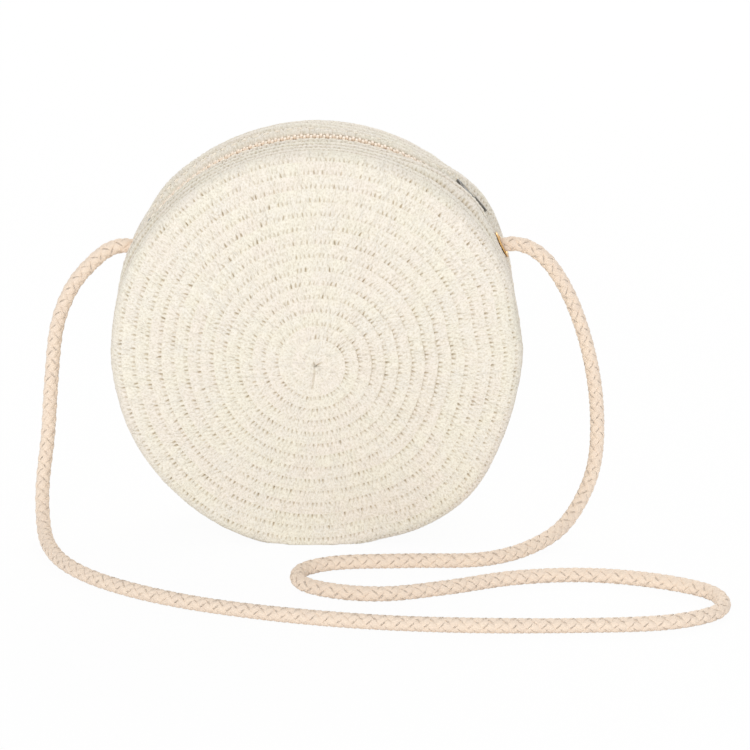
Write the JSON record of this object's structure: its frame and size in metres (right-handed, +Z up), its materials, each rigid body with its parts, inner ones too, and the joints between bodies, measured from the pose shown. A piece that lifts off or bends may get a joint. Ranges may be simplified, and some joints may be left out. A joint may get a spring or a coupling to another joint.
{
  "type": "round woven shoulder bag",
  "caption": "Round drum-shaped shoulder bag of plaited straw with a curved zipped mouth along the top of its gusset and a long braided cord strap through eyelets at the sides.",
  "frame": {"origin": "under the middle of the drum, on the surface that the bag stands on", "axes": "+Z up, +X to the right, the front face looks towards -Y"},
  "size_m": [0.2988, 0.1822, 0.1782],
  "materials": {
    "plait": "cream plaited straw, matt with a soft sheen on the strands",
    "thread": "cream sewing thread",
    "zip_tape": "woven beige zip tape",
    "zip_teeth": "beige moulded teeth",
    "zip_metal": "plated grey metal",
    "eyelet_metal": "pressed gold-toned metal",
    "lining": "plain woven lining cloth",
    "cord": "braided peach-beige cord"
  },
  "bodies": {
    "bag": {"front_panel": "plait", "back_panel": "plait", "seam_stitches": "thread", "mouth_stitches_back": "thread", "zip_tape_back": "zip_tape", "zip_teeth_back": "zip_teeth", "zip_bottom_stop": "zip_metal", "zip_top_stops": "zip_metal", "eyelet_left": "eyelet_metal", "eyelet_right": "eyelet_metal", "eyelet_washer_left": "eyelet_metal", "eyelet_washer_right": "eyelet_metal", "lining_front": "lining", "lining_back": "lining", "lining_gusset": "lining", "shoulder_cord": "cord", "cord_knot_left": "cord", "cord_knot_right": "cord"},
    "mouth": {"mouth_flap": "plait", "mouth_stitches_front": "thread", "zip_tape_front": "zip_tape", "zip_teeth_front": "zip_teeth"},
    "slider": {"zip_slider": "zip_metal"},
    "pull": {"zip_pull": "zip_metal"}
  },
  "joints": [
    {"name": "zip_travel", "type": "hinge", "parent": "bag", "child": "slider", "pos_m": [0, 0, 0.0875], "axis": [0, 1, 0], "range_deg": [-101, 0], "deforming": ["zip_tape_front", "zip_tape_back", "zip_teeth_front", "zip_teeth_back"]},
    {"name": "mouth_flex", "type": "hinge", "parent": "bag", "child": "mouth", "pos_m": [0, -0.035, 0.13453], "axis": [1, 0, 0], "range_deg": [0, 20.2], "deforming": ["lining_front", "lining_gusset"]},
    {"name": "pull_swing", "type": "hinge", "parent": "slider", "child": "pull", "pos_m": [0.07037, 0, 0.14551], "axis": [0, 1, 0], "range_deg": [0, 150]}
  ],
  "couplings": [
    {"joint": "mouth_flex", "follows": "zip_travel", "ratio": -0.2}
  ]
}
